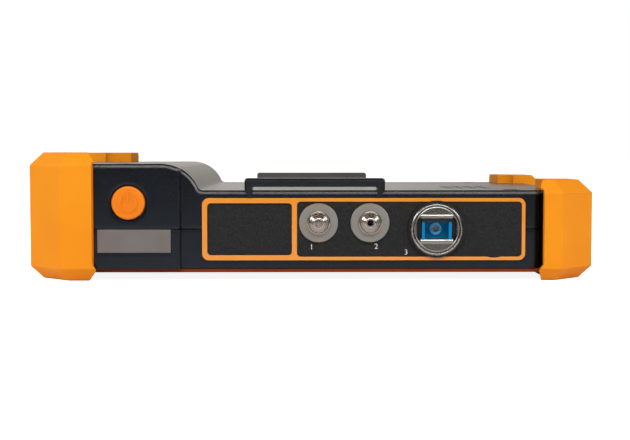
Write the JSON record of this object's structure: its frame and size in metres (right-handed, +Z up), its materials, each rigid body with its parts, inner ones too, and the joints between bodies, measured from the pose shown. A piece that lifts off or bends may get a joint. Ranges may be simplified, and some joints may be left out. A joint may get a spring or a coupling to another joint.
{
  "type": "optical time domain reflectometer",
  "caption": "Tablet-style optical time domain reflectometer on its screen side: faceted rubber corners, battery bulge, strap loops, power button, round ferrule adapters and a square plug port.",
  "frame": {"origin": "on the floor under the middle of the bounding box, the unit lying on its screen side", "axes": "+X to the right seen from the connector edge, +Y away from the connector edge, +Z up out of the back"},
  "size_m": [0.2206, 0.152, 0.0494],
  "materials": {
    "shell": "fine-textured dark ABS",
    "trim": "smooth orange ABS",
    "bumper": "matt orange TPU",
    "button": "satin orange silicone",
    "panel": "grained black plastic",
    "loop": "satin dark nylon",
    "flange": "bead-blasted grey",
    "adapter": "turned and polished nickel",
    "ceramic": "polished white zirconia",
    "collar": "black plastic",
    "ring": "polished nickel",
    "shroud": "blue plastic",
    "nameplate": "bare grey plate",
    "glass": "black-bordered cover glass",
    "display": "display module with metal back",
    "key": "moulded silicone key",
    "rubber_mat": "translucent grey silicone",
    "light_guide": "clear acrylic rod",
    "circuit_board": "green solder mask",
    "socket_metal": "tinned steel",
    "socket_plastic": "black plastic",
    "connector": "blue plastic",
    "fibre": "coated fibre wound on its spool",
    "battery": "sleeved lithium pack",
    "screw": "zinc-plated steel"
  },
  "bodies": {
    "housing": {"back_shell": "shell", "battery_door": "shell", "battery_pack": "battery", "battery_tray": "socket_plastic", "blank_panel": "panel", "board_screws": "screw", "bumper_far_left": "bumper", "bumper_far_right": "bumper", "bumper_near_left": "bumper", "bumper_near_right": "bumper", "charge_socket": "socket_plastic", "display_module": "display", "door_screws": "screw", "fibre_coil": "fibre", "fibre_spool": "socket_plastic", "front_shell": "shell", "front_trim": "trim", "hinge_pin": "screw", "housing_screws": "screw", "key_board": "circuit_board", "key_mat": "rubber_mat", "lan_socket": "socket_metal", "light_detector": "socket_metal", "light_guides": "light_guide", "light_source": "socket_metal", "loop_screws": "screw", "main_board": "circuit_board", "meter_adapter": "adapter", "meter_flange": "flange", "meter_sleeve": "ceramic", "name_plate": "nameplate", "optical_module": "socket_metal", "pigtail_connector": "connector", "plug_housing": "ring", "plug_shroud": "shroud", "plug_sleeve": "ceramic", "port_collar": "collar", "port_frame": "trim", "port_panel": "panel", "port_ring": "ring", "power_switch": "socket_plastic", "socket_panel": "socket_plastic", "source_adapter": "adapter", "source_flange": "flange", "source_sleeve": "ceramic", "speaker": "socket_plastic", "strap_loop_far": "loop", "strap_loop_near": "loop", "switch_board": "circuit_board", "touch_glass": "glass", "usb_sockets": "socket_metal"},
    "power_button": {"power_button": "button"},
    "side_flap": {"side_flap": "shell"},
    "key_1": {"key_1": "key"},
    "key_2": {"key_2": "key"},
    "key_3": {"key_3": "key"},
    "key_4": {"key_4": "key"},
    "key_5": {"key_5": "key"}
  },
  "joints": [
    {"name": "power_button_press", "type": "slide", "parent": "housing", "child": "power_button", "axis": [0, 1, 0], "range_m": [0, 0.001], "stiffness_N_per_m": 600, "springref_m": -0.0008},
    {"name": "side_flap_hinge", "type": "hinge", "parent": "housing", "child": "side_flap", "pos_m": [0.1, 0, 0.0246], "axis": [0, -1, 0], "range_deg": [0, 95]},
    {"name": "key_1_press", "type": "slide", "parent": "housing", "child": "key_1", "axis": [0, 0, 1], "range_m": [0, 0.0007], "stiffness_N_per_m": 500, "springref_m": -0.0006},
    {"name": "key_2_press", "type": "slide", "parent": "housing", "child": "key_2", "axis": [0, 0, 1], "range_m": [0, 0.0007], "stiffness_N_per_m": 500, "springref_m": -0.0006},
    {"name": "key_3_press", "type": "slide", "parent": "housing", "child": "key_3", "axis": [0, 0, 1], "range_m": [0, 0.0007], "stiffness_N_per_m": 500, "springref_m": -0.0006},
    {"name": "key_4_press", "type": "slide", "parent": "housing", "child": "key_4", "axis": [0, 0, 1], "range_m": [0, 0.0007], "stiffness_N_per_m": 500, "springref_m": -0.0006},
    {"name": "key_5_press", "type": "slide", "parent": "housing", "child": "key_5", "axis": [0, 0, 1], "range_m": [0, 0.0007], "stiffness_N_per_m": 500, "springref_m": -0.0006}
  ]
}
